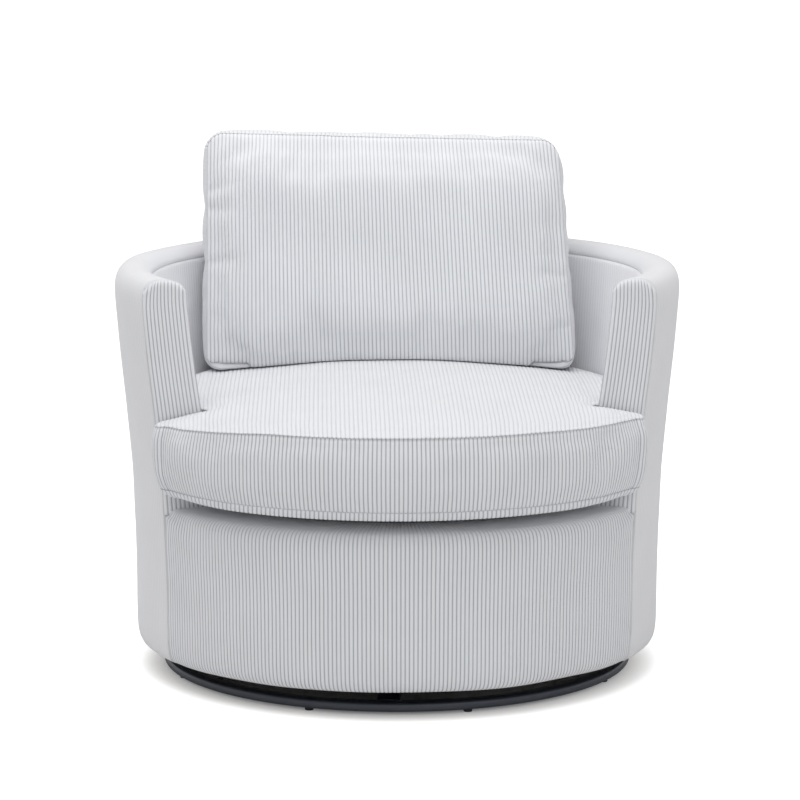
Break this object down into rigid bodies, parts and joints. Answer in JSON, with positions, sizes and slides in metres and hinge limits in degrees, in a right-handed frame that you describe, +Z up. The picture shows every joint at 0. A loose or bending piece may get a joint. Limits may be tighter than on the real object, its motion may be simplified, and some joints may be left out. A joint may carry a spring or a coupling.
{
  "type": "swivel barrel chair",
  "caption": "Round barrel chair in wale corduroy with a wrapped shell, a loose seat cushion that overhangs the front, a loose back cushion and a low ring base that swivels.",
  "frame": {"origin": "on the floor, on the swivel axis at the middle of the ring base", "axes": "+Z up along the swivel axis, -Y towards the open front of the chair, +X to the right as seen from the front"},
  "size_m": [0.7995, 0.8052, 0.7337],
  "materials": {
    "corduroy": "pale grey wide-wale corduroy",
    "foam": "cushion foam in a plain wrap",
    "deck_cloth": "grey deck cloth over felt",
    "dust_cloth": "thin black cloth",
    "webbing": "woven elastic webbing",
    "hardwood": "planed hardwood",
    "plywood": "raw birch plywood",
    "black_steel": "black powder coat, satin",
    "black_plastic": "moulded black plastic",
    "zinc_steel": "zinc-plated pressed steel",
    "cage_steel": "plain strip steel",
    "bearing_steel": "polished bearing steel"
  },
  "bodies": {
    "base": {"base_ring": "black_steel", "base_cross_tube": "black_steel", "base_front_tube": "black_steel", "base_rear_tube": "black_steel", "foot_glides": "black_plastic", "lower_swivel_plate": "zinc_steel", "swivel_pin": "zinc_steel"},
    "ball_cage": {"ball_cage": "cage_steel", "bearing_balls": "bearing_steel"},
    "chair": {"upper_swivel_plate": "zinc_steel", "upper_plate_bolts": "zinc_steel", "upper_plate_nuts": "zinc_steel", "bottom_board": "plywood", "upright_left_front": "hardwood", "upright_left_mid_front": "hardwood", "upright_left_mid_rear": "hardwood", "upright_left_rear": "hardwood", "upright_right_front": "hardwood", "upright_right_mid_front": "hardwood", "upright_right_mid_rear": "hardwood", "upright_right_rear": "hardwood", "seat_frame_ring": "plywood", "front_apron": "plywood", "arm_front_board_left": "plywood", "arm_front_board_right": "plywood", "top_rail": "plywood", "webbing_lengthwise_1": "webbing", "webbing_lengthwise_2": "webbing", "webbing_lengthwise_3": "webbing", "webbing_lengthwise_4": "webbing", "webbing_crosswise_1": "webbing", "webbing_crosswise_2": "webbing", "webbing_crosswise_3": "webbing", "webbing_crosswise_4": "webbing", "outer_upholstery": "corduroy", "inner_upholstery": "corduroy", "skirt_panel": "corduroy", "arm_front_panel_left": "corduroy", "arm_front_panel_right": "corduroy", "deck_pad": "deck_cloth", "dust_cover": "dust_cloth"},
    "seat_cushion": {"seat_cushion_cover": "corduroy", "seat_cushion_filling": "foam"},
    "back_cushion": {"back_cushion_cover": "corduroy", "back_cushion_filling": "foam"}
  },
  "joints": [
    {"name": "swivel", "type": "hinge", "parent": "base", "child": "chair", "pos_m": [0, 0, 0.028], "axis": [0, 0, 1], "continuous": true},
    {"name": "cage_turn", "type": "hinge", "parent": "base", "child": "ball_cage", "pos_m": [0, 0, 0.028], "axis": [0, 0, 1], "continuous": true},
    {"name": "seat_cushion_lift", "type": "slide", "parent": "chair", "child": "seat_cushion", "axis": [0, 0, 1], "range_m": [0, 0.35]},
    {"name": "back_cushion_lift", "type": "slide", "parent": "seat_cushion", "child": "back_cushion", "axis": [0, 0, 1], "range_m": [0, 0.4]}
  ],
  "couplings": [
    {"joint": "cage_turn", "follows": "swivel", "ratio": 0.5}
  ]
}
